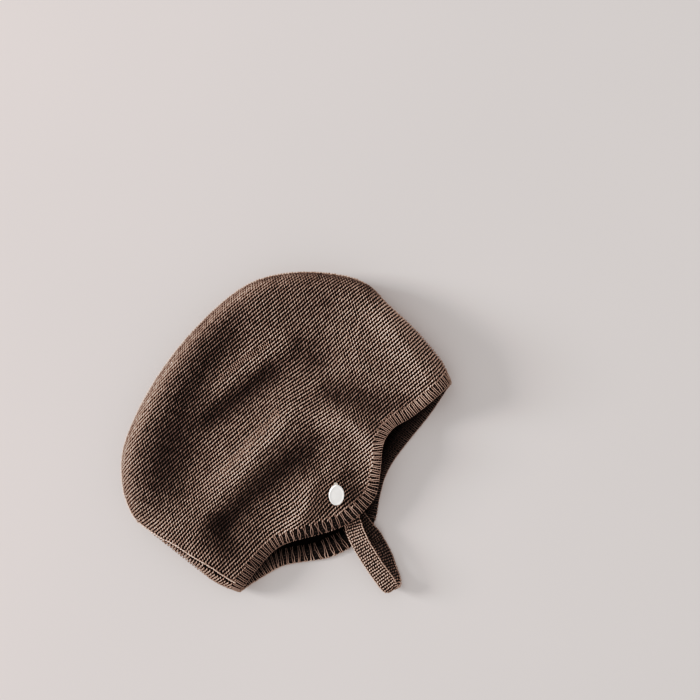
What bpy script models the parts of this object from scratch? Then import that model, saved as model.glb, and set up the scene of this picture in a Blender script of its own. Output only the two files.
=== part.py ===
"""Knitted baby bonnet with ear flaps, lying on its left side.

The frame is the bonnet's own: +X towards the face, +Y towards the crown, +Z up from the table.
The cap is one knitted shell folded flat about its centre line: a far layer on the table, a near
layer above it, and a round fold between them. A ribbed edging runs round the opening, a knitted
chin strap loops from flap to flap, and one oval button sits on the upper flap.
"""

import math
from collections import namedtuple

import bmesh
import bpy
import numpy as np
from mathutils import Matrix, Vector

# Driving sizes of the cap, in metres
CAP_LENGTH = 0.178  # forehead to the back of the head, lying folded
CAP_HEIGHT = 0.132  # crown to the tip of the upper flap
LIE_HEIGHT = 0.0235  # top of the upper layer above the table, near the folded rim
FABRIC = 0.0022  # thickness of the knitted wall
FOLD_REACH = 0.0115  # how far in from the outline the folded rim goes on curving
FOLD_SHARE = 0.44  # height of the outline, as a share of the upper layer's height there
SAG = 0.0042  # how far the middle of the upper layer has sunk below its rim
SAG_REACH = 0.034  # distance from the rim over which it sinks
EDGE_REACH = 0.042  # distance from the opening over which the upper layer gains its height
LIFT_BLUR = 0.003  # distance over which the heights along the opening run into each other

# Driving sizes of the edging, strap and button, in metres
EDGING_WIDTH = 0.0060
EDGING_THICKNESS = 0.0026  # half-way up a rib
RIB_PITCH = 0.0026
RIB_RISE = 0.0004  # height of a rib above the half-way line, and depth of the groove beside it
STRAP_WIDTH = 0.0096
STRAP_THICKNESS = 0.0019
STRAP_DROP = 0.0415  # how far the loop hangs out past the upper flap's tip
STRAP_LOOP_HEIGHT = 0.0112  # top of the open loop above the table
BUTTON_LENGTH = 0.0110
BUTTON_WIDTH = 0.0082
BUTTON_THICKNESS = 0.0022
BUTTON_TURN = math.radians(51)  # long axis, turned from +X
SHANK_RADIUS = 0.0016
SHANK_HEIGHT = 0.0008
DIMPLE_DEPTH = 0.0018  # how far the sewn button pulls the fabric in
DIMPLE_RADIUS = 0.0100
CLEARANCE = 0.0003  # gap between pieces that touch

# Mesh density
RIM_STEPS = 4  # grid lines across the curve of the folded rim
CELLS_ALONG = 32  # cells of each layer from back to front, between the two rims
CELLS_UP = 18  # cells of each layer from the edging up to the crown's rim
RIB_SAMPLES = 2  # stations of the edging to a rib, a crest and a groove
STRAP_CELLS = 44
BUTTON_STEPS = 28
CURVE_SAMPLES = 24  # straight pieces between two rows of an outline table

# The outline of the folded cap, from the nape round the back and crown to the brow.
# forward is a share of CAP_LENGTH and up a share of CAP_HEIGHT.
Outline = namedtuple("Outline", "place forward up")
BACK = (
    Outline("nape", -0.4326, -0.3674),
    Outline("lower_back", -0.4680, -0.2652),
    Outline("middle_back", -0.4935, -0.0680),
    Outline("upper_back", -0.5135, 0.0795),
    Outline("back_corner", -0.5185, 0.1480),
)
CROWN = (
    Outline("back_corner", -0.5185, 0.1480),
    Outline("crown_back", -0.4870, 0.2600),
    Outline("crown_rise", -0.4160, 0.3740),
    Outline("crown_slope", -0.3030, 0.4570),
    Outline("crown_rear", -0.1680, 0.5190),
    Outline("crown_top", -0.0280, 0.5540),
    Outline("crown_peak", 0.1240, 0.5630),
    Outline("crown_front", 0.2320, 0.5330),
    Outline("crown_fall", 0.3370, 0.4440),
    Outline("temple_top", 0.4230, 0.3220),
    Outline("front_corner", 0.4600, 0.2230),
)
FRONT = (
    Outline("front_corner", 0.4600, 0.2230),
    Outline("upper_front", 0.4650, 0.1290),
    Outline("middle_front", 0.4775, -0.0350),
    Outline("lower_front", 0.4760, -0.1850),
    Outline("brow", 0.4550, -0.2880),
)

# The free edge of each layer, from the nape round the ear flap to the brow.
# lift is the upper layer's height at its edge, as a share of LIE_HEIGHT.
Edge = namedtuple("Edge", "place forward up lift")
NEAR_EDGE = (
    Edge("nape", -0.4326, -0.3674, 0.46),
    Edge("neck_start", -0.3720, -0.3480, 0.46),
    Edge("neck_hollow", -0.2870, -0.3290, 0.44),
    Edge("neck_turn", -0.2350, -0.3370, 0.44),
    Edge("flap_back", -0.1700, -0.3740, 0.46),
    Edge("flap_corner", -0.0960, -0.4190, 0.46),
    Edge("flap_tip_back", -0.0340, -0.4400, 0.46),
    Edge("flap_tip_front", 0.0240, -0.4410, 0.46),
    Edge("flap_turn", 0.0760, -0.4250, 0.47),
    Edge("flap_front", 0.1180, -0.3840, 0.50),
    Edge("cheek", 0.1600, -0.3330, 0.56),
    Edge("cheek_hollow", 0.1950, -0.2880, 0.58),
    Edge("temple_hollow", 0.2380, -0.2710, 0.54),
    Edge("temple", 0.2950, -0.2860, 0.50),
    Edge("brow_side", 0.3720, -0.2900, 0.66),
    Edge("brow", 0.4550, -0.2880, 0.84),
)
FAR_EDGE = (
    Edge("nape", -0.4326, -0.3674, 0.0),
    Edge("neck_start", -0.3700, -0.3710, 0.0),
    Edge("neck_hollow", -0.3050, -0.3850, 0.0),
    Edge("neck_turn", -0.2470, -0.4280, 0.0),
    Edge("flap_back", -0.1800, -0.4810, 0.0),
    Edge("flap_corner", -0.1010, -0.5120, 0.0),
    Edge("flap_tip", -0.0310, -0.5210, 0.0),
    Edge("flap_turn", 0.0300, -0.4930, 0.0),
    Edge("flap_front", 0.0790, -0.4430, 0.0),
    Edge("cheek", 0.1370, -0.3900, 0.0),
    Edge("cheek_hollow", 0.2020, -0.3550, 0.0),
    Edge("temple", 0.2810, -0.3300, 0.0),
    Edge("brow_side", 0.3710, -0.3120, 0.0),
    Edge("brow", 0.4550, -0.2880, 0.0),
)

# Soft folds in the upper layer. Each runs through three places, given as shares of CAP_LENGTH
# and CAP_HEIGHT; width is its half-width as a share of CAP_HEIGHT, and rise its height as a
# share of LIE_HEIGHT, below 0 for a hollow.
Fold = namedtuple("Fold", "place x0 y0 x1 y1 x2 y2 width rise")
FOLDS = (
    Fold("crown_ridge", -0.130, 0.290, 0.024, 0.270, 0.170, 0.235, 0.055, 0.080),
    Fold("crown_hollow", -0.150, 0.375, 0.003, 0.362, 0.140, 0.345, 0.055, -0.070),
    Fold("middle_ridge", -0.330, -0.040, -0.112, -0.002, 0.060, -0.005, 0.062, 0.140),
    Fold("middle_hollow", -0.430, 0.150, -0.180, 0.125, 0.050, 0.145, 0.065, -0.090),
    Fold("ear_ridge", -0.200, -0.330, -0.090, -0.250, -0.005, -0.190, 0.052, 0.070),
    Fold("nape_hollow", -0.300, -0.260, -0.160, -0.180, -0.020, -0.115, 0.058, -0.080),
    Fold("temple_ridge", 0.070, -0.030, 0.150, -0.130, 0.175, -0.260, 0.058, 0.090),
    Fold("temple_hollow", 0.110, 0.065, 0.215, -0.045, 0.280, -0.180, 0.058, -0.090),
)

# The chin strap's middle line. forward is a share of CAP_LENGTH; drop is a share of STRAP_DROP
# below the upper flap's tip; level is a share of STRAP_LOOP_HEIGHT; slant turns the width.
StrapPoint = namedtuple("StrapPoint", "place forward drop level slant")
STRAP_OUT = (
    StrapPoint("under_button", -0.026, -0.375, 0.0, 0.00),
    StrapPoint("under_flap", -0.033, -0.190, 0.0, 0.00),
    StrapPoint("under_edging", -0.040, -0.010, 0.0, 0.02),
    StrapPoint("leaves_flap", -0.052, 0.120, 0.78, -0.02),
    StrapPoint("upper_run", -0.064, 0.290, 0.86, -0.05),
    StrapPoint("upper_middle", -0.071, 0.445, 0.91, -0.07),
    StrapPoint("upper_end", -0.077, 0.620, 0.90, -0.11),
    StrapPoint("end_rise", -0.081, 0.800, 0.84, -0.17),
    StrapPoint("bend_top", -0.082, 0.930, 0.72, -0.22),
    StrapPoint("bend", -0.078, 0.985, 0.46, -0.24),
    StrapPoint("bend_low", -0.070, 0.935, 0.24, -0.22),
)
STRAP_BACK = (
    StrapPoint("lower_end", -0.056, 0.800, 0.128, -0.20),
    StrapPoint("lower_middle", -0.040, 0.620, 0.112, -0.14),
    StrapPoint("lower_run", -0.029, 0.430, 0.106, -0.08),
)
# Shares of STRAP_DROP past the lower flap's tip, level set by what the strap lies on
STRAP_HOME = (
    StrapPoint("meets_edging", -0.025, 0.075, 0.0, -0.02),
    StrapPoint("over_edging", -0.024, -0.075, 0.0, 0.00),
    StrapPoint("over_flap", -0.022, -0.230, 0.0, 0.00),
    StrapPoint("stitched_end", -0.020, -0.400, 0.0, 0.00),
)

# The button's seat on the upper flap, as shares of CAP_LENGTH and CAP_HEIGHT
BUTTON_FORWARD = -0.0230
BUTTON_UP = -0.3140

# Material colours, from the knit in daylight and a pearl button
KNIT_BROWN = (0.105, 0.066, 0.048, 1.0)
EDGING_BROWN = (0.115, 0.073, 0.054, 1.0)
STRAP_BROWN = (0.130, 0.084, 0.062, 1.0)
PEARL = (0.86, 0.83, 0.79, 1.0)


def clear_scene():
    for obj in list(bpy.data.objects):
        bpy.data.objects.remove(obj)


def new_collection(name):
    collection = bpy.data.collections.new(name)
    bpy.context.scene.collection.children.link(collection)
    return collection


def finish(name, colour, roughness, metallic=0.0):
    """A Principled material."""
    material = bpy.data.materials.new(name)
    material.use_nodes = True
    shader = material.node_tree.nodes["Principled BSDF"]
    shader.inputs["Base Color"].default_value = colour
    shader.inputs["Roughness"].default_value = roughness
    shader.inputs["Metallic"].default_value = metallic
    return material


def add_piece(name, bm, material, collection, smooth_angle=40):
    """Turns a bmesh into a named object of the bonnet."""
    mesh = bpy.data.meshes.new(name)
    bm.to_mesh(mesh)
    bm.free()
    mesh.materials.append(material)
    mesh.shade_smooth()
    mesh.set_sharp_from_angle(angle=math.radians(smooth_angle))
    piece = bpy.data.objects.new(name, mesh)
    collection.objects.link(piece)
    return piece


def smooth_curve(points):
    """A fine polyline through the points: a Catmull-Rom curve with its end points doubled."""
    points = np.asarray(points, float)
    padded = np.vstack((2 * points[0] - points[1], points, 2 * points[-1] - points[-2]))
    t = (np.arange(CURVE_SAMPLES) / CURVE_SAMPLES)[:, None]
    pieces = []
    for a, b, c, d in zip(padded, padded[1:], padded[2:], padded[3:]):
        bend = 2 * a - 5 * b + 4 * c - d
        twist = 3 * b - a - 3 * c + d
        pieces.append(0.5 * (2 * b + (c - a) * t + bend * t**2 + twist * t**3))
    return np.vstack((*pieces, points[-1:]))


def arc_lengths(line):
    """Length along a polyline at each of its points."""
    steps = np.linalg.norm(np.diff(line, axis=0), axis=1)
    return np.concatenate(([0.0], np.cumsum(steps)))


def at_lengths(line, lengths):
    """Points of a polyline at the given lengths along it."""
    along = arc_lengths(line)
    return np.column_stack([np.interp(lengths, along, line[:, k]) for k in range(line.shape[1])])


def at_shares(line, shares):
    """Points of a polyline at the given shares of its whole length."""
    return at_lengths(line, np.asarray(shares) * arc_lengths(line)[-1])


def plan(rows):
    """A table's places in the plan, in metres."""
    return [(row.forward * CAP_LENGTH, row.up * CAP_HEIGHT) for row in rows]


def sideways(line, distance):
    """A plan polyline moved to its right by a distance."""
    slopes = np.gradient(line, axis=0)
    slopes /= np.linalg.norm(slopes, axis=1)[:, None]
    return line + distance * np.column_stack((slopes[:, 1], -slopes[:, 0]))


def pinned(line, start, end):
    """A polyline bent a little near its ends so that it starts and ends at two given points."""
    share = np.linspace(0.0, 1.0, len(line))[:, None]
    fade = 14.0
    bent = line + (start - line[0]) * np.exp(-fade * share) + (end - line[-1]) * np.exp(-fade * (1 - share))
    bent[0] = start
    bent[-1] = end
    return bent


def outline_runs():
    """Middle of the wall all along the folded outline, whole and as its back, crown and front."""
    whole = sideways(smooth_curve(plan(BACK[:-1] + CROWN[:-1] + FRONT)), FABRIC / 2)
    first = (len(BACK) - 1) * CURVE_SAMPLES
    second = first + (len(CROWN) - 1) * CURVE_SAMPLES
    return whole, whole[: first + 1], whole[first : second + 1], whole[second:]


OUTLINE, BACK_LINE, CROWN_LINE, FRONT_LINE = outline_runs()
NEAR_LINE = pinned(smooth_curve(plan(NEAR_EDGE)), OUTLINE[0], OUTLINE[-1])
FAR_LINE = pinned(smooth_curve(plan(FAR_EDGE)), OUTLINE[0], OUTLINE[-1])
NEAR_LIFTS = smooth_curve([(row.lift * LIE_HEIGHT,) for row in NEAR_EDGE])[:, 0]


def nearest(points, line):
    """For each plan point: its distance from a polyline, and where along it, in whole segments and parts."""
    start, run = line[:-1], np.diff(line, axis=0)
    offset = points[:, None, :] - start[None]
    share = np.clip((offset * run).sum(axis=2) / (run**2).sum(axis=1), 0.0, 1.0)
    gaps = np.linalg.norm(offset - share[:, :, None] * run, axis=2)
    index = gaps.argmin(axis=1)
    every = np.arange(len(points))
    return gaps[every, index], index + share[every, index]


def smooth_step(t):
    t = np.clip(t, 0.0, 1.0)
    return t * t * (3 - 2 * t)


def fold_relief(points):
    """Height that the soft folds add to the upper layer at each plan point."""
    relief = np.zeros(len(points))
    for fold in FOLDS:
        ends = np.array([(fold.x0, fold.y0), (fold.x1, fold.y1), (fold.x2, fold.y2)])
        line = smooth_curve(ends * (CAP_LENGTH, CAP_HEIGHT))
        gap, place = nearest(points, line)
        share = place / (len(line) - 1)
        taper = 0.25 + 0.75 * np.sin(np.pi * share)
        relief += fold.rise * LIE_HEIGHT * taper * np.exp(-((gap / (fold.width * CAP_HEIGHT)) ** 2))
    return relief


def button_seat():
    return np.array([BUTTON_FORWARD * CAP_LENGTH, BUTTON_UP * CAP_HEIGHT])


def layer_height(points):
    """Middle of the upper layer above the table, away from the curve of its folded rim."""
    rim_gap, _ = nearest(points, OUTLINE)
    edge_gap, _ = nearest(points, NEAR_LINE)
    rim_height = LIE_HEIGHT - SAG * smooth_step((rim_gap - FOLD_REACH) / SAG_REACH)
    gained = smooth_step(edge_gap / EDGE_REACH)
    spread = np.linalg.norm(points[:, None, :] - NEAR_LINE[None], axis=2) + LIFT_BLUR
    pull = spread**-4
    lift = (pull * NEAR_LIFTS).sum(axis=1) / pull.sum(axis=1)
    height = lift * (1 - gained) + rim_height * gained
    settled = smooth_step((edge_gap + EDGING_WIDTH) / (3 * EDGING_WIDTH))
    button_gap = np.linalg.norm(points - button_seat(), axis=1)
    dimple = DIMPLE_DEPTH * np.exp(-((button_gap / DIMPLE_RADIUS) ** 2))
    return height + fold_relief(points) * settled - dimple


def rim_curve(points):
    """0 at the folded outline, 1 where its curve has ended, as a quarter of an ellipse."""
    gap, _ = nearest(points, OUTLINE)
    inwards = 1 - np.clip(gap / FOLD_REACH, 0.0, 1.0)
    return np.sqrt(1 - inwards**2)


def layer_points(points, upper):
    """Plan points lifted onto the middle of one layer's wall."""
    height = layer_height(points)
    curve = rim_curve(points)
    level = height if upper else np.full(len(points), FABRIC / 2)
    z = FOLD_SHARE * height * (1 - curve) + level * curve
    return np.column_stack((points, z))


def inner_line(edge):
    """The line in a layer's plan where the cap ends and the edging starts."""
    width = EDGING_WIDTH + CLEARANCE
    line = sideways(edge, -width)
    return pinned(line, at_lengths(OUTLINE, [width])[0], at_lengths(OUTLINE[::-1], [width])[0])


def rim_shares(span):
    """Grid lines across the folded rim, as shares of a patch's span from the outline inwards."""
    angles = np.linspace(0.0, math.pi / 2, RIM_STEPS + 1)
    return FOLD_REACH * (1 - np.cos(angles)) / span


def grid_shares():
    """Grid lines of a layer: along from back to front, and up from the edging to the crown."""
    ends = rim_shares(CAP_LENGTH)
    middle = np.linspace(ends[-1], 1 - ends[-1], CELLS_ALONG + 1)[1:-1]
    along = np.concatenate((ends, middle, 1 - ends[::-1]))
    top = rim_shares(CAP_HEIGHT * 0.8)
    rise = np.linspace(0.0, 1 - top[-1], CELLS_UP + 1)[:-1]
    return along, np.concatenate((rise, 1 - top[::-1]))


def patch(bottom):
    """Plan points of one layer as a grid spanned between its four border curves."""
    along, up = grid_shares()
    start = at_lengths(OUTLINE, [EDGING_WIDTH + CLEARANCE])[0]
    end = at_lengths(OUTLINE[::-1], [EDGING_WIDTH + CLEARANCE])[0]
    back = np.vstack((start, BACK_LINE[arc_lengths(BACK_LINE) > EDGING_WIDTH + CLEARANCE]))
    front = FRONT_LINE[::-1]
    front = np.vstack((end, front[arc_lengths(front) > EDGING_WIDTH + CLEARANCE]))
    low, high = at_shares(bottom, along), at_shares(CROWN_LINE, along)
    left, right = at_shares(back, up), at_shares(front, up)
    u, v = along[:, None, None], up[None, :, None]
    across = (1 - v) * low[:, None] + v * high[:, None] + (1 - u) * left[None] + u * right[None]
    corners = (1 - u) * (1 - v) * low[0] + u * (1 - v) * low[-1]
    return across - corners - (1 - u) * v * high[0] - u * v * high[-1]


def add_grid(bm, places, flip):
    """Adds a grid of quads whose vertices are moved to an array of places, columns by rows."""
    columns, rows = places.shape[:2]
    made = bmesh.ops.create_grid(bm, x_segments=columns - 1, y_segments=rows - 1, size=0.5)
    ordered = sorted(made["verts"], key=lambda vert: (round(vert.co.x, 5), round(vert.co.y, 5)))
    for vert, place in zip(ordered, places.reshape(-1, 3)):
        vert.co = place
    if flip:
        faces = {face for vert in ordered for face in vert.link_faces}
        bmesh.ops.reverse_faces(bm, faces=list(faces))


def make_cap(material, collection):
    """The knitted shell: crown, back and both ear flaps in one piece, open below."""
    bm = bmesh.new()
    for edge, upper in ((NEAR_LINE, True), (FAR_LINE, False)):
        flat = patch(inner_line(edge))
        shape = flat.shape[:2]
        places = layer_points(flat.reshape(-1, 2), upper).reshape(*shape, 3)
        add_grid(bm, places, flip=not upper)
    bmesh.ops.remove_doubles(bm, verts=bm.verts, dist=1e-5)
    piece = add_piece("cap", bm, material, collection)
    wall = piece.modifiers.new("knitted wall", "SOLIDIFY")
    wall.thickness = FABRIC
    wall.offset = 0.0
    wall.use_even_offset = False
    return piece


def edging_ring():
    """Middle lines of the edging's two borders, the free edge and the cap side, closed through both layers."""
    borders = []
    for near, far in ((NEAR_LINE, FAR_LINE), (inner_line(NEAR_LINE), inner_line(FAR_LINE))):
        shares = (1 - np.cos(np.linspace(0.0, math.pi, 700))) / 2
        upper = layer_points(at_shares(near, shares), upper=True)
        lower = layer_points(at_shares(far, shares), upper=False)
        borders.append(np.vstack((upper, lower[-2::-1])))
    return borders


def make_edging(material, collection):
    """The ribbed band knitted onto the opening's edge, one closed loop."""
    free, joined = edging_ring()
    middle = (free + joined) / 2
    ribs = round(arc_lengths(middle)[-1] / RIB_PITCH)
    count = ribs * RIB_SAMPLES
    along = arc_lengths(middle)
    lengths = along[-1] * np.arange(count) / count
    free = np.column_stack([np.interp(lengths, along, free[:, k]) for k in range(3)])
    joined = np.column_stack([np.interp(lengths, along, joined[:, k]) for k in range(3)])
    run = np.roll((free + joined) / 2, -1, axis=0) - np.roll((free + joined) / 2, 1, axis=0)
    outwards = free - joined
    outwards /= np.linalg.norm(outwards, axis=1)[:, None]
    normal = np.cross(run, outwards)
    normal /= -np.linalg.norm(normal, axis=1)[:, None]
    height = EDGING_THICKNESS / 2
    wave = np.where(np.arange(count) % RIB_SAMPLES == 0, RIB_RISE, -RIB_RISE)[:, None]
    gap = CLEARANCE
    section = (
        (gap, height * 0.8, 0.4),
        (EDGING_WIDTH * 0.30, height, 1.0),
        (EDGING_WIDTH * 0.80, height, 1.0),
        (EDGING_WIDTH * 1.00, 0.0, 0.3),
        (EDGING_WIDTH * 0.80, -height, -1.0),
        (EDGING_WIDTH * 0.30, -height, -1.0),
        (gap, -height * 0.8, -0.4),
    )
    rows = []
    for reach, rise, share in section:
        row = joined + outwards * reach + normal * (rise + wave * share)
        row[:, 2] = np.maximum(row[:, 2], 0.0)
        rows.append(row)
    rows.append(rows[0])
    places = np.array(rows)
    places = np.concatenate((places, places[:, :1]), axis=1)
    bm = bmesh.new()
    add_grid(bm, places, flip=False)
    bmesh.ops.remove_doubles(bm, verts=bm.verts, dist=1e-6)
    return add_piece("edging", bm, material, collection, smooth_angle=60)


def strap_route():
    """Middle line of the strap and the slant of its width, from under the button to the lower flap."""
    near_tip = NEAR_LINE[:, 1].min()
    far_tip = FAR_LINE[:, 1].min()
    half = STRAP_THICKNESS / 2
    edging_half = EDGING_THICKNESS / 2 + RIB_RISE
    rows = []
    for row in STRAP_OUT + STRAP_BACK + STRAP_HOME:
        tip = far_tip if row in STRAP_HOME else near_tip
        place = np.array([[row.forward * CAP_LENGTH, tip - row.drop * STRAP_DROP]])
        wall = edging_half if abs(row.drop) * STRAP_DROP < 1.5 * EDGING_WIDTH else FABRIC / 2
        if row.level > 0:
            z = max(row.level * STRAP_LOOP_HEIGHT, half)
        elif row in STRAP_HOME:
            z = FABRIC / 2 + wall + CLEARANCE + half
        else:
            z = layer_points(place, upper=True)[0, 2] - wall - CLEARANCE - half
        rows.append((*place[0], z, row.slant))
    return smooth_curve(rows)


def make_strap(material, collection):
    """The knitted chin strap, a flat band that loops from the upper flap to the lower one."""
    route = strap_route()
    middle, slant = route[:, :3], route[:, 3]
    along = arc_lengths(middle)
    lengths = np.linspace(0.0, along[-1], STRAP_CELLS + 1)
    middle = at_lengths(middle, lengths)
    slant = np.interp(lengths, along, slant)
    across = np.column_stack((np.cos(slant), np.sin(slant), np.zeros(len(slant))))
    shares = np.array([-0.5, -0.18, 0.18, 0.5]) * STRAP_WIDTH
    places = middle[None] + shares[:, None, None] * across[None]
    bm = bmesh.new()
    add_grid(bm, places, flip=False)
    piece = add_piece("chin_strap", bm, material, collection)
    wall = piece.modifiers.new("knitted band", "SOLIDIFY")
    wall.thickness = STRAP_THICKNESS
    wall.offset = 0.0
    return piece


def surface_normal(place):
    """Upwards normal of the upper layer at a plan point."""
    step = 0.0015
    around = place + step * np.array([(1, 0), (-1, 0), (0, 1), (0, -1)])
    z = layer_points(around, upper=True)[:, 2]
    return Vector(((z[1] - z[0]) / (2 * step), (z[3] - z[2]) / (2 * step), 1.0)).normalized()


def make_button(material, collection):
    """The oval pearl button: a turned, rimmed disc drawn out to an oval, on a short sewn shank."""
    radius = BUTTON_LENGTH / 2
    top = SHANK_HEIGHT + BUTTON_THICKNESS
    profile = (
        (0.0, top - 0.12 * BUTTON_THICKNESS),
        (0.55 * radius, top - 0.16 * BUTTON_THICKNESS),
        (0.72 * radius, top - 0.10 * BUTTON_THICKNESS),
        (0.84 * radius, top),
        (0.95 * radius, top - 0.20 * BUTTON_THICKNESS),
        (radius, top - 0.50 * BUTTON_THICKNESS),
        (0.93 * radius, top - 0.85 * BUTTON_THICKNESS),
        (0.80 * radius, SHANK_HEIGHT),
        (SHANK_RADIUS, SHANK_HEIGHT),
        (SHANK_RADIUS, 0.0),
        (0.0, 0.0),
    )
    bm = bmesh.new()
    verts = [bm.verts.new((x, 0.0, z)) for x, z in profile]
    edges = [bm.edges.new(pair) for pair in zip(verts, verts[1:])]
    bmesh.ops.spin(
        bm,
        geom=verts + edges,
        axis=(0, 0, 1),
        cent=(0, 0, 0),
        angle=2 * math.pi,
        steps=BUTTON_STEPS,
        use_merge=True,
    )
    bmesh.ops.remove_doubles(bm, verts=bm.verts, dist=1e-6)
    bmesh.ops.recalc_face_normals(bm, faces=bm.faces)
    place = button_seat()
    normal = surface_normal(place)
    seat = Vector(layer_points(place[None], upper=True)[0])
    seat += normal * (FABRIC / 2 + CLEARANCE)
    oval = Matrix.Diagonal((1.0, BUTTON_WIDTH / BUTTON_LENGTH, 1.0, 1.0))
    turn = Matrix.Rotation(BUTTON_TURN, 4, "Z")
    lean = Vector((0, 0, 1)).rotation_difference(normal).to_matrix().to_4x4()
    bmesh.ops.transform(bm, verts=bm.verts, matrix=lean @ turn @ oval)
    piece = add_piece("button", bm, material, collection)
    piece.location = seat
    return piece


def build():
    clear_scene()
    bonnet = new_collection("baby bonnet")
    make_cap(finish("knit", KNIT_BROWN, 0.9), bonnet)
    make_edging(finish("rib knit", EDGING_BROWN, 0.9), bonnet)
    make_strap(finish("strap knit", STRAP_BROWN, 0.9), bonnet)
    make_button(finish("pearl", PEARL, 0.2), bonnet)


build()
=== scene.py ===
"""A knitted baby bonnet lying on its side on a pale table: stitches, ribs, strap, button and light.

Everything is in metres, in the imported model's own frame: +X towards the brow, +Y towards the
crown, +Z up from the table. The cap's garter rows run straight along X and on round the folded
rim, so each layer of the cap is rolled out flat, stitches are laid on it in rows, and each one
is put back where it came from.
"""

import math
from collections import namedtuple

import bmesh
import bpy
import numpy as np
from mathutils import Matrix, Vector
from mathutils.bvhtree import BVHTree


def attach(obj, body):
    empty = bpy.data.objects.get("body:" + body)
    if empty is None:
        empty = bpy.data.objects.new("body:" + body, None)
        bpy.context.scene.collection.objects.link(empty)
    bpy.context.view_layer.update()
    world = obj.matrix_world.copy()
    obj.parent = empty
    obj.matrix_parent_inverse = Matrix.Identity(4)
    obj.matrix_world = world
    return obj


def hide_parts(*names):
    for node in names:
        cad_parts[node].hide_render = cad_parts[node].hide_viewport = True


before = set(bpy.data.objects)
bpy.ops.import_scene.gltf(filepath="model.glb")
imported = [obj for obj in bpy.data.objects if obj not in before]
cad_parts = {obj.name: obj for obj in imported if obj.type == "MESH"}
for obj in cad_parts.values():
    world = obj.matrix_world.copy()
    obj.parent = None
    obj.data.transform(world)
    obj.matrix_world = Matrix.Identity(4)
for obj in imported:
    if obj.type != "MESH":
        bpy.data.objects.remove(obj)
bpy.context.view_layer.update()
chance = np.random.default_rng(7)

MM = 0.001

# The cap's garter knit
ROW_PITCH = 1.64 * MM
STITCH_PITCH = 1.60 * MM
ROLL_SHARE = 0.95  # share of the folded rim's true length that its rows are counted over
STRETCH_RANGE = (0.9, 2.0)  # least and most that a stitch is drawn out
STITCH_SINK = 0.15 * MM  # depth of a stitch's middle below the CAD surface
BACKING_SINK = 0.60 * MM  # depth of the knit between the stitches, painted near black as shade
FABRIC = 2.2 * MM
FOLD_RADIUS = 11.5 * MM
SHARP = math.radians(60)  # edges sharper than this bound the cap's outer skin
TABLE_GAP = 0.02 * MM  # no yarn comes nearer to the table than this
CORE_GAP = 0.03 * MM  # nor the dark cores of the edging and the strap nearer than this
BACKING_GAP = 0.1 * MM  # nor the cap's backing nearer than this

# Each kind of stitch is a grain of yarn, turned from its row by a slant
Stitch = namedtuple("Stitch", "length width height slant")
GARTER = Stitch(2.05 * MM, 0.78 * MM, 1.35 * MM, math.radians(22))
LEG = Stitch(1.80 * MM, 0.36 * MM, 0.80 * MM, math.radians(86))
SEAM_CHAIN = Stitch(2.00 * MM, 0.85 * MM, 1.10 * MM, math.radians(24))
PURL = Stitch(1.10 * MM, 0.55 * MM, 0.50 * MM, math.radians(12))
EDGE_CHAIN = Stitch(1.40 * MM, 0.48 * MM, 0.48 * MM, math.radians(30))
STRAP_STITCH = Stitch(1.35 * MM, 0.92 * MM, 0.85 * MM, math.radians(28))
SELVEDGE = Stitch(1.85 * MM, 0.80 * MM, 0.85 * MM, math.radians(20))
GRAIN_AROUND = 6
GRAIN_ALONG = 3
TURN_CHANCE = math.radians(5)  # how far stitches stray in slant, in size and in place
SIZE_CHANCE = 0.05
PLACE_CHANCE = 0.05 * MM

# Where the rows turn from straight, each over a round patch of the upper layer
Drift = namedtuple("Drift", "place x y reach turn")
DRIFTS = (
    Drift("back", -88 * MM, 28 * MM, 22 * MM, math.radians(-5)),
    Drift("nape", -56 * MM, -27 * MM, 22 * MM, math.radians(9)),
    Drift("seam_end", -82 * MM, -16 * MM, 22 * MM, math.radians(14)),
    Drift("crown_front", 55 * MM, 30 * MM, 35 * MM, math.radians(3)),
    Drift("flap", -16 * MM, -36 * MM, 15 * MM, math.radians(10)),
    Drift("middle", 17 * MM, 6 * MM, 18 * MM, math.radians(-9)),
)

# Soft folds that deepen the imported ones, each a bowed line by three plan places, in millimetres
Fold = namedtuple("Fold", "place x0 y0 x1 y1 x2 y2 width rise")
FOLDS = (
    Fold("back_hollow", 38.5, 60.0, -25.5, 48.0, -93.0, 6.5, 10.0, -2.0),
    Fold("top_dip", 31.0, 64.0, 50.5, 46.0, 66.0, 25.5, 13.0, -0.6),
    Fold("crown_dip", 27.5, 35.0, 36.0, 23.5, 34.5, 9.0, 8.5, -1.2),
    Fold("crown_ridge", 39.0, 35.0, 9.0, 41.0, -19.5, 40.5, 4.6, 1.0),
    Fold("crown_hollow", 33.0, 26.5, -5.0, 29.5, -45.0, 32.0, 6.8, -2.1),
    Fold("side_hollow", -31.5, 28.5, -53.5, 21.0, -73.5, 6.0, 8.5, -0.9),
    Fold("middle_ridge", 21.0, 9.5, -18.0, 4.5, -61.0, 2.5, 6.0, 2.6),
    Fold("nape_hollow", 15.5, -16.0, -30.5, -14.0, -79.0, -17.0, 7.5, -1.9),
    Fold("nape_dip", -53.0, -7.5, -61.0, -18.5, -66.0, -37.0, 6.0, -1.1),
    Fold("ear_ridge", -7.5, -23.0, -24.5, -36.5, -51.5, -36.5, 5.0, 1.5),
    Fold("cheek_hollow", 16.5, -7.0, 3.5, -17.0, -10.0, -30.5, 6.5, -0.8),
    Fold("button_hollow", 8.5, -33.0, 6.5, -45.0, 2.5, -55.5, 6.0, -1.0),
    Fold("temple_hollow", 25.5, 10.0, 40.5, -13.0, 67.5, -43.5, 7.0, -1.25),
    Fold("temple_ridge", 11.0, -0.5, 29.0, -25.0, 15.0, -52.5, 6.0, 2.3),
    Fold("brow_ridge", 79.0, 29.5, 77.0, -6.5, 72.0, -38.5, 10.5, 2.9),
)
FOLD_FLOOR = 4 * MM  # nothing lower than this is folded
FOLD_FADE = 6 * MM
FLAT_ENOUGH = 0.6  # upward share of the normal from which the folds have their full height
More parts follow.
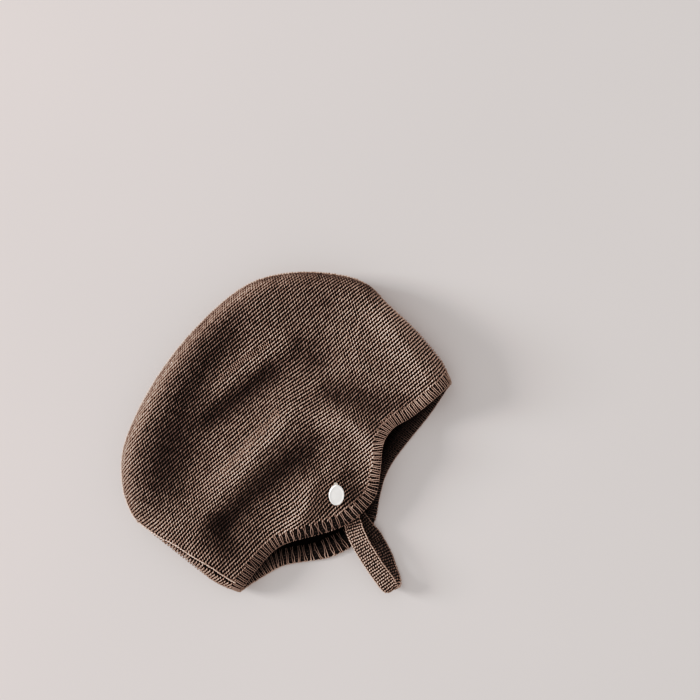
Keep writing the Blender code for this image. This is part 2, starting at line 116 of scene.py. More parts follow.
FOLD_END = 0.28  # share of a fold's line over which it fades at each end
LINE_PLACES = 25  # places along a fold's line from which distances are taken
SLOPE_STEP = 0.5 * MM

# The yarn's painted light and shade, which follow its height in the folds, from -1 to 1: paler on the
# crests and on their side towards the window, darker in the hollows
PAINTED_LIGHT_HEIGHT = 2.8 * MM  # fold height at which the painted light on a crest, and the painted shade in a hollow, are at their full
PAINTED_LIGHT_LEAN = (-1.5 * MM, 1.3 * MM)  # from a fold's line to the side where its painted light is palest, towards the window
PAINTED_SHADE_SHARE = 0.78  # share of the painted shade's near-black colour in the deepest hollow
PAINTED_SHADE_COLOUR = (0.030, 0.010, 0.007, 1.0)
SHADE_LEAST = 0.25  # the darkest stitch's shade on level knit, and how far the palest is above it
SHADE_CHANCE = 0.5
PAINTED_LIGHT_GAIN = 0.5  # how far the painted light and shade of the folds move the shade
RIM_PAINTED_SHADE = 0.9  # painted shade on the rim's yarn where it turns down towards the table, as a height in the folds
RIM_UPWARD = 0.75  # upward share of the normal below which the rim's yarn is in shade
RIM_TURNED = 0.4  # and below which that shade grows lighter again
RIM_LEAST = 0.4  # down to this share of it

# Crests where the knit is drawn open and its upright legs show between the rows, in millimetres
Crest = namedtuple("Crest", "place x0 y0 x1 y1 x2 y2 width")
OPEN_CRESTS = (
    Crest("crown_crest", -16.0, 43.0, 7.5, 43.5, 32.0, 39.0, 2.1),
    Crest("middle_crest", -49.5, 6.5, -17.5, 9.0, 15.0, 14.0, 2.5),
)
CREST_GAIN = 1.3  # a crest's openness is taken this many times, up to 1
CREST_NARROW = 0.30  # share by which its stitches are narrower
LEG_PITCH = 1.18 * MM
LEG_SINK = 0.12 * MM
LEG_CLUSTER = 10 * MM  # the legs show in clusters this far apart
LEG_CLUSTERED = 0.28  # share of a crest's openness that comes and goes with the clusters
LEG_SHOWN = 0.30  # least openness at which a leg shows
LEG_LEAST = 0.4  # share of its size that every leg has
LEG_TONE = -0.30  # painted shade on the legs, down between the rows; this and the other tones are given as heights in the folds, the scale of the painted light and shade

# The centre seam, from the nape up the back and over the crown, snapped to the cap's skin
SeamPoint = namedtuple("SeamPoint", "place x y z")
SEAM = (
    SeamPoint("nape", -75.6 * MM, -41.6 * MM, 11 * MM),
    SeamPoint("neck", -76.8 * MM, -37.2 * MM, 12.4 * MM),
    SeamPoint("lower_back", -79.4 * MM, -23.9 * MM, 17.4 * MM),
    SeamPoint("middle_back", -82.6 * MM, -11.1 * MM, 20 * MM),
    SeamPoint("upper_back", -85.2 * MM, -3.4 * MM, 19.5 * MM),
    SeamPoint("back_side", -90.0 * MM, 8.0 * MM, 16 * MM),
    SeamPoint("back_corner", -94.0 * MM, 24.0 * MM, 14 * MM),
    SeamPoint("crown_back", -84.0 * MM, 42.0 * MM, 13 * MM),
    SeamPoint("crown_rise", -66.0 * MM, 57.0 * MM, 13 * MM),
    SeamPoint("crown_rear", -30.0 * MM, 72.0 * MM, 13 * MM),
    SeamPoint("crown_top", 0.0 * MM, 77.0 * MM, 13 * MM),
    SeamPoint("crown_peak", 24.0 * MM, 78.0 * MM, 13 * MM),
    SeamPoint("crown_fall", 58.0 * MM, 64.0 * MM, 13 * MM),
    SeamPoint("front_corner", 84.0 * MM, 34.0 * MM, 13 * MM),
)
SEAM_GROOVE = 1.15 * MM  # no stitch lies nearer to the seam than this
SEAM_STEP = 0.75 * MM
SEAM_ASIDE = 0.75 * MM  # from the seam's line to its chain
SEAM_PROUD = 0.35 * MM  # and above the skin
# painted light: the seam's raised chain is painted as pale as a lit crest
SEAM_TONE = 0.8

# The ribbed edging
BAND_WIDTH = 6.3 * MM
BAND_HALF = 0.50 * MM  # half the thickness of the dark band under the ribs
BAND_MIDDLE = 0.40  # the dark band's middle and half its width, as shares of the edging's width
BAND_SPREAD = 0.54
BAND_SIDES = 12
BAND_ROUND = 0.6  # the lower, the squarer the band's section
EVEN_TIMES = 6  # how often the ring's directions are evened
RIB_PITCH = 2.4 * MM
RIB_LOOSE = 0.55  # the ribs lie further apart by this share at the tip of the flap
RIB_STRAND = 0.25 * MM  # radius of each of a rib's two strands
RIB_THICKER = 0.40  # the strands are thicker by this share at the tip of the flap
RIB_SPREAD = 0.44 * MM  # half the distance between a rib's strands at the cap
RIB_SPLAY = 0.52 * MM  # and at the free edge
RIB_HALF = 1.10 * MM  # middle of a strand from the band's middle
RIB_REACH = 0.96  # share of the edging's width that the ribs take up
RIB_LEAN = 0.30 * MM  # how far ribs stray sideways, and how much further at the tip of the flap
RIB_LOOSE_LEAN = 0.65 * MM
RIB_CHANCE = 0.06 * MM
RIB_CROSSED = 0.60  # how far the strands of a loose rib cross
FLAP_TIP = (-24.0 * MM, -52.0 * MM)  # where the ribs lie loosest
LOOSE_REACH = 26 * MM

# A rib's way round the band: up from the cap, over the free edge and back underneath
RibPoint = namedtuple("RibPoint", "reach rise")
RIB_PATH = (
    RibPoint(-0.10, 0.80),
    RibPoint(0.20, 1.00),
    RibPoint(0.50, 1.02),
    RibPoint(0.78, 0.95),
    RibPoint(0.93, 0.70),
    RibPoint(1.00, 0.0),
    RibPoint(0.93, -0.70),
    RibPoint(0.78, -0.95),
    RibPoint(0.48, -1.02),
    RibPoint(0.08, -1.00),
    RibPoint(-0.42, -0.80),
    RibPoint(-0.46, 0.0),
)

# The painted shade on the edging, on the lower layer's inner face and then on the upper layer
CHEEK = -10 * MM  # in front of this the lower layer lies in deep shade
CHEEK_FADE = 14 * MM
INNER_DARK = 0.58  # next to the cap
CHEEK_DARK = 0.37  # and how much more in front of the cheek
EDGE_DARK = 0.62  # at the free edge in front of the cheek
EDGE_FROM = 0.2  # share of the width from which the free edge's shade takes over, and over which
EDGE_FADE = 0.75
UPPER_DARK = 0.34  # on the upper layer, gone in front of UPPER_END
UPPER_END = 20 * MM
CURL_DARK = 0.24  # and how much more round the flap's tip
CURL_REACH = 12 * MM
FACE_SHARE = 0.6  # share of the rise from which a strand is wholly on one face

# The purl bumps between the ribs, and the chain along the free edge
PURL_SHARES = (0.16, 0.40, 0.64)
# painted shade on the purl bumps, down between the ribs
PURL_TONE = -0.85
CHAIN_REACH = 0.935
CHAIN_RISE = 0.40 * MM
CHAIN_LEAN = 0.9
# painted shade on the chain along the free edge
CHAIN_TONE = -0.5
CHAIN_PALE = 0.9  # how much paler the chain is painted on the lower layer behind the cheek, out of the cap's shade

# Where the edging is drawn wider, by a share of its width in the upper and in the lower layer
Stretch = namedtuple("Stretch", "place x y reach upper lower")
STRETCHES = (
    Stretch("flap_tip", -24.0 * MM, -52.0 * MM, 20 * MM, 0.32, 0.50),
    Stretch("nape", -56.0 * MM, -44.0 * MM, 18 * MM, 0.0, 0.38),
    Stretch("temple", 50.0 * MM, -41.5 * MM, 28 * MM, 0.0, 0.42),
)

# The chin strap
STRAP_WIDTH = 9.6 * MM
STRAP_HALF = 0.48 * MM  # half the thickness of the strap's dark core
STRAP_CORE = 0.46  # half the core, the selvedges' places and the stitched part, as shares of the width
STRAP_SELVEDGE = 0.455
STRAP_STITCHED = 0.80
STRAP_STEP = 1.2 * MM
STRAP_ROW = 1.52 * MM
STRAP_COLUMNS = 6
STRAP_TAPER = 0.34  # the loop is narrower by this share where it turns
STRAP_END = 3.0 * MM
STRAP_SHADE = 9.0 * MM  # from the turn to where the lower run lies in full shade
STRAP_DARK = 0.9  # how much darker it is there
STRAP_TONE = 0.2
STRAP_BRICK = 0.08  # how far every other row is shifted, as a share of a column
STRAP_LIFT = 0.05 * MM
STRAP_JITTER = 1.6  # how much more its stitches stray than the others
SELVEDGE_STEP = 1.55 * MM
SELVEDGE_TONE = 0.5
SELVEDGE_RISE = 0.30 * MM
SELVEDGE_LEAN = 0.8
StrapPoint = namedtuple("StrapPoint", "place x y z slant")
STRAP = (
    StrapPoint("under_button", -4.6 * MM, -42.9 * MM, 9.4 * MM, 0.00),
    StrapPoint("under_flap", -5.9 * MM, -50.6 * MM, 7.8 * MM, 0.00),
    StrapPoint("under_edging", -7.1 * MM, -58.0 * MM, 7.8 * MM, 0.02),
    StrapPoint("leaves_flap", -9.3 * MM, -63.4 * MM, 8.7 * MM, -0.02),
    StrapPoint("upper_run", -11.4 * MM, -70.5 * MM, 9.6 * MM, -0.05),
    StrapPoint("upper_middle", -12.6 * MM, -76.9 * MM, 10.2 * MM, -0.07),
    StrapPoint("upper_end", -13.7 * MM, -84.2 * MM, 10.1 * MM, -0.11),
    StrapPoint("end_rise", -14.4 * MM, -91.7 * MM, 9.4 * MM, -0.17),
    StrapPoint("bend_top", -14.8 * MM, -97.8 * MM, 8.1 * MM, -0.22),
    StrapPoint("bend", -14.0 * MM, -100.2 * MM, 5.2 * MM, -0.24),
    StrapPoint("bend_low", -12.4 * MM, -98.0 * MM, 2.7 * MM, -0.22),
    StrapPoint("lower_end", -10.0 * MM, -91.7 * MM, 1.4 * MM, -0.20),
    StrapPoint("lower_middle", -7.1 * MM, -84.2 * MM, 1.3 * MM, -0.14),
    StrapPoint("lower_run", -5.2 * MM, -76.3 * MM, 1.2 * MM, -0.08),
    StrapPoint("meets_edging", -4.4 * MM, -72.0 * MM, 4.0 * MM, -0.02),
    StrapPoint("over_edging", -4.3 * MM, -65.8 * MM, 4.0 * MM, 0.00),
    StrapPoint("over_flap", -3.9 * MM, -59.3 * MM, 3.4 * MM, 0.00),
    StrapPoint("stitched_end", -3.6 * MM, -52.3 * MM, 3.4 * MM, 0.00),
)

# The button
BUTTON_LENGTH = 11.4 * MM
BUTTON_WIDTH = 8.2 * MM
BUTTON_THICKNESS = 2.2 * MM
BUTTON_SHIFT = 0.9 * MM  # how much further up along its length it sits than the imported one
BUTTON_STEPS = 64
# The button's turned outline, as shares of its half length and of its thickness
BUTTON_PROFILE = (
    (0.0, 0.965),
    (0.30, 0.965),
    (0.60, 0.955),
    (0.76, 0.940),
    (0.82, 0.955),
    (0.87, 0.990),
    (0.92, 1.0),
    (0.97, 0.90),
    (1.0, 0.66),
    (0.985, 0.40),
    (0.93, 0.16),
    (0.84, 0.02),
    (0.60, 0.0),
    (0.0, 0.0),
)
PEARL_PAINTED_GLOW = 0.13  # painted light: a glow that stands for the light that is scattered inside the pearl
THREAD_RADIUS = 0.28 * MM
THREAD_TALL = 0.95 * MM
THREAD_WIDE = 1.1 * MM
THREAD_PLACE = 0.44  # middle of the loops along the button, as a share of its length
THREAD_SINK = 0.2 * MM
THREAD_SHIFTS = (-0.55 * MM, 0.0, 0.55 * MM)
THREAD_SIDES = 8
THREAD_STATIONS = 14

# The photograph's view: straight down, with the brow turned up to the right
VIEW_TURN = math.radians(-41)
VIEW_X = 51.8 * MM
VIEW_Y = 11.1 * MM
VIEW_HEIGHT = 886 * MM
LENS = 85
SENSOR = 36

# Soft lights, each towards the picture's right and up, and at an angle above the table
SoftLight = namedtuple("SoftLight", "name right up angle distance size power")
LIGHTS = (
    SoftLight("window", -1.0, 0.16, math.radians(20), 3.2, 0.95, 117.0),
    SoftLight("sky", -0.8, 0.6, math.radians(50), 2.4, 2.4, 10.0),
)
LIGHT_COLOUR = (1.0, 0.985, 0.97)
ROOM_COLOUR = (1.0, 0.975, 0.955, 1.0)
ROOM_STRENGTH = 0.54
TABLE_HALF = 4.0  # half the side of the table top

# The pale and the dark colour of each yarn
YarnColours = namedtuple("YarnColours", "pale dark")
GARTER_YARN = YarnColours((0.67, 0.495, 0.418), (0.19, 0.124, 0.099))
RIB_YARN = YarnColours((0.66, 0.490, 0.415), (0.24, 0.162, 0.131))
STRAP_YARN = YarnColours((0.60, 0.440, 0.370), (0.22, 0.148, 0.119))
# These two yarns are near black, as painted shade: on the knit between the stitches, in the cores under the
# ribs and the strap's rows, and inside the cap
PAINTED_SHADE_YARN = YarnColours((0.016, 0.009, 0.007), (0.010, 0.006, 0.005))
INNER_SHADED_YARN = YarnColours((0.016, 0.009, 0.007), (0.009, 0.0055, 0.0045))
PALE_THREAD = YarnColours((0.72, 0.66, 0.58), (0.60, 0.53, 0.46))
WAVES_A_METRE = 3.18  # of a wave texture at scale 1

# The picture's tones, from black to white, as light before and after
Tone = namedtuple("Tone", "scene picture")
TONES = (
    Tone(0.0, 0.0),
    Tone(0.02, 0.007),
    Tone(0.06, 0.038),
    Tone(0.12, 0.118),
    Tone(0.30, 0.370),
    Tone(0.55, 0.570),
    Tone(0.75, 0.700),
    Tone(1.0, 0.95),
)


# Shapes


def mesh_of(name, bm):
    """A bmesh as a mesh, with the bmesh freed."""
    mesh = bpy.data.meshes.new(name)
    bm.to_mesh(mesh)
    bm.free()
    return mesh


def mesh_piece(name, mesh, materials, replaced=()):
    """Links a mesh as a named piece of the bonnet with its materials, and hides the CAD nodes that it
    stands for.
    """
    for material in materials:
        mesh.materials.append(material)
    mesh.shade_smooth()
    made = bpy.data.objects.new(name, mesh)
    bpy.context.scene.collection.objects.link(made)
    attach(made, "root")
    if replaced:
        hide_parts(*replaced)


def unit(rows):
    """Each row of an array at length 1."""
    return rows / np.maximum(np.linalg.norm(rows, axis=-1, keepdims=True), 1e-12)


def smooth_step(t):
    """A soft rise from 0 to 1."""
    t = np.clip(t, 0.0, 1.0)
    return t * t * (3 - 2 * t)


def nearness(places, fold):
    """How near plan places are to the line of a fold or a crest, from 0 to 1."""
    start, bow, end = (MM * np.array(pair) for pair in (fold[1:3], fold[3:5], fold[5:7]))
    t = np.linspace(0, 1, LINE_PLACES)[:, None]
    control = 2 * bow - (start + end) / 2
    line = (1 - t) ** 2 * start + 2 * t * (1 - t) * control + t**2 * end
    gaps = np.linalg.norm(places[:, None, :2] - line[None], axis=2)
    nearest = t[gaps.argmin(axis=1), 0]
    fade = smooth_step(np.minimum(nearest, 1 - nearest) / FOLD_END)
    return fade * np.exp(-((gaps.min(axis=1) / (fold.width * MM)) ** 2))


def fold_heights(places):
    """Height that the folds add at plan places."""
    return sum(fold.rise * MM * nearness(places, fold) for fold in FOLDS)


def openness(places):
    """How far the knit is drawn open at plan places."""
    return np.max([nearness(places, crest) for crest in OPEN_CRESTS], axis=0)


def folded(places, normals):
    """Places and normals of the cap after its folds are deepened."""
    share = smooth_step((places[:, 2] - FOLD_FLOOR) / FOLD_FADE)
    share = share * smooth_step(np.abs(normals[:, 2]) / FLAT_ENOUGH)
    moved = places.copy()
    moved[:, 2] += share * fold_heights(places)
    turned = normals.copy()
    for axis in (0, 1):
        shift = np.zeros(3)
        shift[axis] = SLOPE_STEP
        slope = (fold_heights(places + shift) - fold_heights(places - shift)) / (2 * SLOPE_STEP)
        turned[:, axis] -= share * slope * normals[:, 2]
    return moved, unit(turned)


def cad_shell(node):
    """A CAD node's mesh with its doubles merged."""
    bm = bmesh.new()
    bm.from_mesh(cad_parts[node].data)
    bmesh.ops.remove_doubles(bm, verts=bm.verts, dist=1e-6)
    return bm


def outer_skin(bm):
    """The faces of a shell that are reached from its highest one without passing a sharp edge."""
    start = max(bm.faces, key=lambda face: face.calc_center_median().z)
    found = {start}
    front = [start]
    while front:
        face = front.pop()
        for edge in face.edges:
            if edge.calc_face_angle(0) > SHARP:
                continue
            for other in edge.link_faces:
                if other not in found:
                    found.add(other)
                    front.append(other)
    return found


def smooth_curve(rows, samples=16, closed=False):
    """A fine polyline through an array's rows: a Catmull-Rom curve, with its ends doubled if it is open."""
    rows = np.asarray(rows, float)
    if closed:
        padded = np.vstack((rows[-1:], rows, rows[:2]))
    else:
        padded = np.vstack((2 * rows[0] - rows[1], rows, 2 * rows[-1] - rows[-2]))
    t = (np.arange(samples) / samples)[:, None]
    parts = []
    for before, start, end, after in zip(padded, padded[1:], padded[2:], padded[3:]):
        bend = 2 * before - 5 * start + 4 * end - after
        twist = 3 * start - before - 3 * end + after
        parts.append(0.5 * (2 * start + (end - before) * t + bend * t**2 + twist * t**3))
    if not closed:
        parts.append(rows[-1:])
    return np.vstack(parts)


def evenly(line, pitch):
    """Rows of a polyline at even steps along its first three columns."""
    steps = np.linalg.norm(np.diff(line[:, :3], axis=0), axis=1)
    along = np.concatenate(([0.0], np.cumsum(steps)))
    count = max(2, round(along[-1] / pitch) + 1)
    wanted = np.linspace(0.0, along[-1], count)
    return np.column_stack([np.interp(wanted, along, line[:, k]) for k in range(line.shape[1])])


def places_and_faces(bm):
    """A bmesh's vertices and faces as an array and lists, with its normals put right."""
    bmesh.ops.recalc_face_normals(bm, faces=bm.faces)
    bm.verts.index_update()
    places = np.array([vert.co for vert in bm.verts])
    faces = [[vert.index for vert in face.verts] for face in bm.faces]
    bm.free()
    return places, faces


def grain():
    """One stitch: a grain of yarn of unit length, width and height, as vertices and faces."""
    bm = bmesh.new()
    bmesh.ops.create_uvsphere(bm, u_segments=GRAIN_AROUND, v_segments=GRAIN_ALONG, radius=0.5)
    bmesh.ops.rotate(bm, verts=bm.verts, cent=(0, 0, 0), matrix=Matrix.Rotation(math.pi / 2, 3, "Y"))
    return places_and_faces(bm)


def joined(name, shapes, faces, shades, painted_shades):
    """One mesh of many like shapes (count x vertices x 3) that keeps every vertex's shade and painted
    shade.
    """
    count, size = shapes.shape[:2]
    every = [[index + size * k for index in face] for k in range(count) for face in faces]
    mesh = bpy.data.meshes.new(name)
    mesh.from_pydata(shapes.reshape(-1, 3).tolist(), [], every)
    for label, values in (("shade", shades), ("painted_shade", painted_shades)):
        kept = mesh.attributes.new(label, "FLOAT", "POINT")
        values = np.asarray(values, dtype=np.float32)
        if values.ndim == 1:
            values = values[:, None]
        kept.data.foreach_set("value", np.broadcast_to(values, (count, size)).ravel())
    mesh.update()
    return mesh


# Where stitches lie: stretch is each one's share of length and of width, and raised its painted light and
# shade, given as a height in the folds
Lay = namedtuple("Lay", "places along normals stretch raised")


def plain_lay(places, along, normals, raised):
    """Where stitches of their usual size lie, with one painted light and shade for all, given as a height
    in the folds, or each one's own.
    """
    count = len(places)
    return Lay(places, along, normals, np.ones((count, 2)), raised * np.ones(count))


def one_lay(lays):
    """Several lays as one."""
    return Lay(*(np.concatenate(rows) for rows in zip(*lays)))


def laid_stitches(name, lay, stitch, material, jitter=1.0):
    """A piece of stitches, each lengthways along its row and turned by its slant in the surface."""
    places, faces = grain()
    count = len(lay.places)
    normals = unit(lay.normals)
    along = unit(lay.along - (lay.along * normals).sum(axis=1)[:, None] * normals)
    across = np.cross(normals, along)
    turn = stitch.slant + jitter * TURN_CHANCE * chance.standard_normal(count)
    cos, sin = np.cos(turn)[:, None], np.sin(turn)[:, None]
    sizes = 1 + jitter * SIZE_CHANCE * chance.standard_normal((3, count, 1))
    axes = np.stack(
        (
            (cos * along + sin * across) * stitch.length * sizes[0] * lay.stretch[:, :1],
            (cos * across - sin * along) * stitch.width * sizes[1] * lay.stretch[:, 1:],
            normals * stitch.height * sizes[2],
        ),
        axis=1,
    )
    centres = lay.places + jitter * PLACE_CHANCE * chance.standard_normal((count, 3))
    shapes = centres[:, None, :] + np.einsum("vk,nkc->nvc", places, axes)
    shapes[..., 2] = np.maximum(shapes[..., 2], TABLE_GAP)
    # The shade is a random tone moved by the painted light and shade; below level the colour takes painted
    # shade
    shades = np.clip(PAINTED_LIGHT_GAIN * lay.raised + SHADE_LEAST + SHADE_CHANCE * chance.random(count), 0, 1)
    mesh = joined(name, shapes, faces, shades, PAINTED_SHADE_SHARE * np.clip(-lay.raised, 0, 1))
    mesh_piece(name, mesh, [material])


def spun_round(bm, outline, turn, steps, closed):
    """Spins an outline about Z."""
    bmesh.ops.spin(
        bm,
        geom=outline,
        axis=(0, 0, 1),
        cent=(0, 0, 0),
        angle=turn,
        steps=steps,
        use_merge=closed,
    )


def tube_shape(stations, sides, closed):
    """A plain tube made by spinning a circle: each vertex's station and side, and its faces."""
    turn = 2 * math.pi if closed else math.pi
    steps = stations if closed else stations - 1
    away = 3
    bm = bmesh.new()
    upright = Matrix.Translation((away, 0, 0)) @ Matrix.Rotation(math.pi / 2, 4, "X")
    bmesh.ops.create_circle(bm, segments=sides, radius=1.0, matrix=upright)
    spun_round(bm, bm.verts[:] + bm.edges[:], turn, steps, closed)
    if not closed:
        bmesh.ops.holes_fill(bm, edges=[edge for edge in bm.edges if edge.is_boundary], sides=sides)
    places, faces = places_and_faces(bm)
    station = np.round(np.arctan2(places[:, 1], places[:, 0]) * steps / turn).astype(int) % stations
    outwards = np.hypot(places[:, 0], places[:, 1]) - away
    first = sides - np.round(np.arctan2(places[:, 2], outwards) * sides / (2 * math.pi))
    return station, first.astype(int) % sides, faces


def tubes(name, paths, beside, radius, sides=6, painted_shades=0.0):
    """Closed loops of round yarn along many paths (count x points x 3), each with a direction beside it."""
    count, points = paths.shape[:2]
    station, side, faces = tube_shape(points, sides, closed=True)
    run = unit(np.roll(paths, -1, axis=1) - np.roll(paths, 1, axis=1))
    first = unit(beside - (beside * run).sum(axis=2, keepdims=True) * run)
    second = np.cross(run, first)
    turn = 2 * math.pi * side / sides
    around = np.cos(turn)[:, None] * first[:, station] + np.sin(turn)[:, None] * second[:, station]
    shapes = paths[:, station] + radius * around
    shapes[..., 2] = np.maximum(shapes[..., 2], TABLE_GAP)
    painted_shades = np.broadcast_to(painted_shades, (count, points))[:, station]
    return joined(name, shapes, faces, SHADE_LEAST + SHADE_CHANCE * chance.random(count), painted_shades)


def band(name, middle, across, normals, half_width, half_thick, closed):
    """A flat band with round edges swept along a line; across and normals are its frame at each station."""
    station, side, faces = tube_shape(len(middle), BAND_SIDES, closed)
    turn = 2 * math.pi * side / BAND_SIDES
    wide = half_width[station] * np.sign(np.cos(turn)) * np.abs(np.cos(turn)) ** BAND_ROUND
    shape = middle[station] + wide[:, None] * across[station]
    shape = shape + half_thick * np.sin(turn)[:, None] * normals[station]
    shape[:, 2] = np.maximum(shape[:, 2], CORE_GAP)
    mesh = joined(name, shape[None], faces, 0.5, 0.0)
    bm = bmesh.new()
    bm.from_mesh(mesh)
    bmesh.ops.recalc_face_normals(bm, faces=bm.faces)
    bm.to_mesh(mesh)
    bm.free()
    return mesh


# Materials


def new_group(name, inputs, outputs):
    """An empty shader node group with named inputs and outputs."""
    group = bpy.data.node_groups.new(name, "ShaderNodeTree")
    for label, kind in inputs:
        group.interface.new_socket(label, in_out="INPUT", socket_type=kind)
    for label, kind in outputs:
        group.interface.new_socket(label, in_out="OUTPUT", socket_type=kind)
    return group


def yarn_group():
    """Spun yarn: colour that varies from stitch to stitch and along the fibres and takes each vertex's
    painted light and shade, and the fibres' height.
    """
    group = new_group(
        "yarn",
        (("Colour", "NodeSocketColor"), ("Dark", "NodeSocketColor"), ("Fibre Scale", "NodeSocketFloat")),
        (("Colour", "NodeSocketColor"), ("Height", "NodeSocketFloat")),
    )
    nodes, links = group.nodes, group.links
    inputs = nodes.new("NodeGroupInput")
    outputs = nodes.new("NodeGroupOutput")
    where = nodes.new("ShaderNodeTexCoord")
    fibres = nodes.new("ShaderNodeTexNoise")
    fibres.inputs["Detail"].default_value = 3.0
    fibres.inputs["Roughness"].default_value = 0.6
    patches = nodes.new("ShaderNodeTexNoise")
    patches.inputs["Scale"].default_value = 45.0
    patches.inputs["Detail"].default_value = 2.0
    shade = nodes.new("ShaderNodeAttribute")
    shade.attribute_name = "shade"
    blend = nodes.new("ShaderNodeMath")
    blend.operation = "MULTIPLY_ADD"
    blend.inputs[1].default_value = 0.40
    mixed = nodes.new("ShaderNodeMath")
    mixed.operation = "MULTIPLY_ADD"
    mixed.inputs[1].default_value = 0.85
    mixed.inputs[2].default_value = -0.12
    colour = nodes.new("ShaderNodeMix")
    colour.data_type = "RGBA"
    # The painted shade: a near-black colour mixed in by each vertex's painted shade
    painted_shade = nodes.new("ShaderNodeAttribute")
    painted_shade.attribute_name = "painted_shade"
    painted_shade_mix = nodes.new("ShaderNodeMix")
    painted_shade_mix.data_type = "RGBA"
    painted_shade_mix.inputs["B"].default_value = PAINTED_SHADE_COLOUR
    links.new(where.outputs["Object"], fibres.inputs["Vector"])
    links.new(inputs.outputs["Fibre Scale"], fibres.inputs["Scale"])
    links.new(where.outputs["Object"], patches.inputs["Vector"])
    links.new(patches.outputs["Fac"], blend.inputs[0])
    links.new(shade.outputs["Fac"], mixed.inputs[0])
    links.new(mixed.outputs["Value"], blend.inputs[2])
    links.new(blend.outputs["Value"], colour.inputs["Factor"])
    links.new(inputs.outputs["Dark"], colour.inputs["A"])
    links.new(inputs.outputs["Colour"], colour.inputs["B"])
    links.new(painted_shade.outputs["Fac"], painted_shade_mix.inputs["Factor"])
    links.new(colour.outputs["Result"], painted_shade_mix.inputs["A"])
    links.new(painted_shade_mix.outputs["Result"], outputs.inputs["Colour"])
    links.new(fibres.outputs["Fac"], outputs.inputs["Height"])
    return group


def yarn_material(name, group, colours, sheen=0.15, specular=0.35):
    """Matte spun yarn."""
    material = bpy.data.materials.new(name)
    material.use_nodes = True
    nodes, links = material.node_tree.nodes, material.node_tree.links
    shader = nodes["Principled BSDF"]
    shader.inputs["Roughness"].default_value = 0.72
    shader.inputs["Sheen Weight"].default_value = sheen
    shader.inputs["Sheen Roughness"].default_value = 0.35
    shader.inputs["Sheen Tint"].default_value = (1.0, 0.86, 0.76, 1.0)
    shader.inputs["Specular IOR Level"].default_value = specular
    yarn = nodes.new("ShaderNodeGroup")
    yarn.node_tree = group
    yarn.inputs["Colour"].default_value = (*colours.pale, 1.0)
    yarn.inputs["Dark"].default_value = (*colours.dark, 1.0)
    yarn.inputs["Fibre Scale"].default_value = 3500.0
    bump = nodes.new("ShaderNodeBump")
    bump.inputs["Strength"].default_value = 0.35
    bump.inputs["Distance"].default_value = 0.12 * MM
    links.new(yarn.outputs["Colour"], shader.inputs["Base Color"])
    links.new(yarn.outputs["Height"], bump.inputs["Height"])
    links.new(bump.outputs["Normal"], shader.inputs["Normal"])
    return material


def rows_material(name, group, colours):
    """The knit seen from inside: yarn with its garter rows as relief."""
    material = yarn_material(name, group, colours, sheen=0.0, specular=0.03)
    nodes, links = material.node_tree.nodes, material.node_tree.links
    where = nodes.new("ShaderNodeTexCoord")
    rows = nodes.new("ShaderNodeTexWave")
    rows.bands_direction = "Y"
    rows.inputs["Scale"].default_value = 1 / (ROW_PITCH * WAVES_A_METRE)
    rows.inputs["Distortion"].default_value = 1.5
    rows.inputs["Detail Scale"].default_value = 4.0
    rows.inputs["Detail"].default_value = 2.0
    relief = nodes.new("ShaderNodeBump")
    relief.inputs["Strength"].default_value = 0.9
    relief.inputs["Distance"].default_value = 0.5 * MM
    bump = nodes["Bump"]
    links.new(where.outputs["Object"], rows.inputs["Vector"])
    links.new(rows.outputs["Fac"], relief.inputs["Height"])
    links.new(relief.outputs["Normal"], bump.inputs["Normal"])
    return material


def pearl_material():
    """Glossy pearl with faint clouds and a faint painted glow."""
    material = bpy.data.materials.new("pearl")
    material.use_nodes = True
    nodes, links = material.node_tree.nodes, material.node_tree.links
    shader = nodes["Principled BSDF"]
    shader.inputs["Roughness"].default_value = 0.18
    shader.inputs["Coat Weight"].default_value = 0.6
    shader.inputs["Coat Roughness"].default_value = 0.08
    shader.inputs["Emission Color"].default_value = (1.0, 0.99, 0.975, 1.0)
    shader.inputs["Emission Strength"].default_value = PEARL_PAINTED_GLOW
    where = nodes.new("ShaderNodeTexCoord")
    clouds = nodes.new("ShaderNodeTexNoise")
    clouds.inputs["Scale"].default_value = 320.0
    clouds.inputs["Detail"].default_value = 2.0
    clouds.inputs["Distortion"].default_value = 1.2
    tint = nodes.new("ShaderNodeValToRGB")
    tint.color_ramp.elements[0].position = 0.3
    tint.color_ramp.elements[0].color = (0.93, 0.92, 0.90, 1.0)
    tint.color_ramp.elements[1].position = 0.7
    tint.color_ramp.elements[1].color = (0.98, 0.975, 0.965, 1.0)
    links.new(where.outputs["Object"], clouds.inputs["Vector"])
    links.new(clouds.outputs["Fac"], tint.inputs["Fac"])
    links.new(tint.outputs["Color"], shader.inputs["Base Color"])
    return material


def floor_material():
    """Plain pale paper with the faintest unevenness."""
    material = bpy.data.materials.new("pale paper")
    material.use_nodes = True
    nodes, links = material.node_tree.nodes, material.node_tree.links
    shader = nodes["Principled BSDF"]
    shader.inputs["Roughness"].default_value = 0.85
    shader.inputs["Specular IOR Level"].default_value = 0.2
    where = nodes.new("ShaderNodeTexCoord")
    clouds = nodes.new("ShaderNodeTexNoise")
    clouds.inputs["Scale"].default_value = 3.0
    clouds.inputs["Detail"].default_value = 3.0
    tint = nodes.new("ShaderNodeValToRGB")
    tint.color_ramp.elements[0].position = 0.3
    tint.color_ramp.elements[0].color = (0.690, 0.632, 0.618, 1.0)
    tint.color_ramp.elements[1].position = 0.7
    tint.color_ramp.elements[1].color = (0.725, 0.666, 0.651, 1.0)
    links.new(where.outputs["Object"], clouds.inputs["Vector"])
    links.new(clouds.outputs["Fac"], tint.inputs["Fac"])
    links.new(tint.outputs["Color"], shader.inputs["Base Color"])
    return material


# The cap


